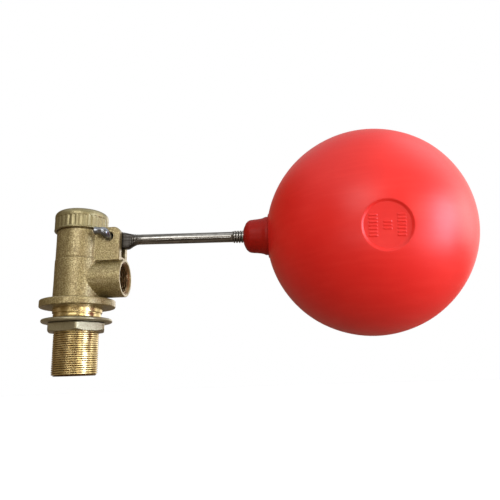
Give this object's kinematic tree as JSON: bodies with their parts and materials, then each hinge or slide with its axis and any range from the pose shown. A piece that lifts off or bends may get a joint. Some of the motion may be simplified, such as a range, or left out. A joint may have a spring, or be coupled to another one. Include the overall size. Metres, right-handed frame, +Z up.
{
  "type": "float valve",
  "caption": "Brass tank float valve with a threaded shank, side outlet, screw cap, slotted pivot boss, piston, steel lever and hollow ball float.",
  "frame": {"origin": "on the body's axis at the underside of the flange, where the valve rests on the tank wall", "axes": "+Z up the body's axis from the shank to the cap, +X from the body towards the outlet and the float, +Y to the far side of the split pin's bent legs"},
  "size_m": [0.4807, 0.2248, 0.2554],
  "materials": {
    "cast_brass": "sand cast, tumbled, with the shank, collar and outlet face turned bright",
    "cap_brass": "hot pressed, satin",
    "nut_brass": "hot pressed, satin",
    "turned_brass": "turned, bright",
    "stainless": "bright",
    "lever_steel": "drawn bar, bright, with a forged blade",
    "pin_steel": "drawn wire, dark",
    "float_plastic": "moulded, satin",
    "nitrile": "matte",
    "fibre": "pressed fibre, matte"
  },
  "bodies": {
    "body": {"valve_body": "cast_brass", "seat_ring": "turned_brass", "seat_gasket": "fibre", "pivot_pin": "pin_steel"},
    "piston": {"piston": "turned_brass", "piston_oring_lower": "nitrile", "piston_oring_upper": "nitrile", "seal_disc": "nitrile", "seal_washer": "stainless", "seal_screw": "stainless"},
    "lever": {"lever_arm": "lever_steel", "float_ball": "float_plastic", "float_bush": "turned_brass"},
    "gasket": {"cap_gasket": "fibre"},
    "cap": {"cap": "cap_brass"},
    "washer": {"clamp_washer": "nut_brass"},
    "nut": {"backnut": "nut_brass"}
  },
  "joints": [
    {"name": "lever_swing", "type": "hinge", "parent": "body", "child": "lever", "pos_m": [0.038, 0, 0.0773], "axis": [0, -1, 0], "range_deg": [0, 18]},
    {"name": "piston_travel", "type": "slide", "parent": "body", "child": "piston", "axis": [0, 0, -1], "range_m": [0, 0.00941]},
    {"name": "washer_slide", "type": "slide", "parent": "body", "child": "washer", "axis": [0, 0, -1], "range_m": [0, 0.0417]},
    {"name": "nut_turn", "type": "hinge", "parent": "washer", "child": "nut", "pos_m": [0, 0, -0.0218], "axis": [0, 0, -1], "range_deg": [0, 6480]},
    {"name": "gasket_lift", "type": "slide", "parent": "body", "child": "gasket", "axis": [0, 0, 1], "range_m": [0, 0.0101]},
    {"name": "cap_turn", "type": "hinge", "parent": "gasket", "child": "cap", "pos_m": [0, 0, 0.1], "axis": [0, 0, 1], "range_deg": [0, 1800]}
  ],
  "couplings": [
    {"joint": "piston_travel", "follows": "lever_swing", "m_per_rad": 0.029621},
    {"joint": "washer_slide", "follows": "nut_turn", "m_per_rad": 0.00036749},
    {"joint": "gasket_lift", "follows": "cap_turn", "m_per_rad": 0.00031831}
  ]
}
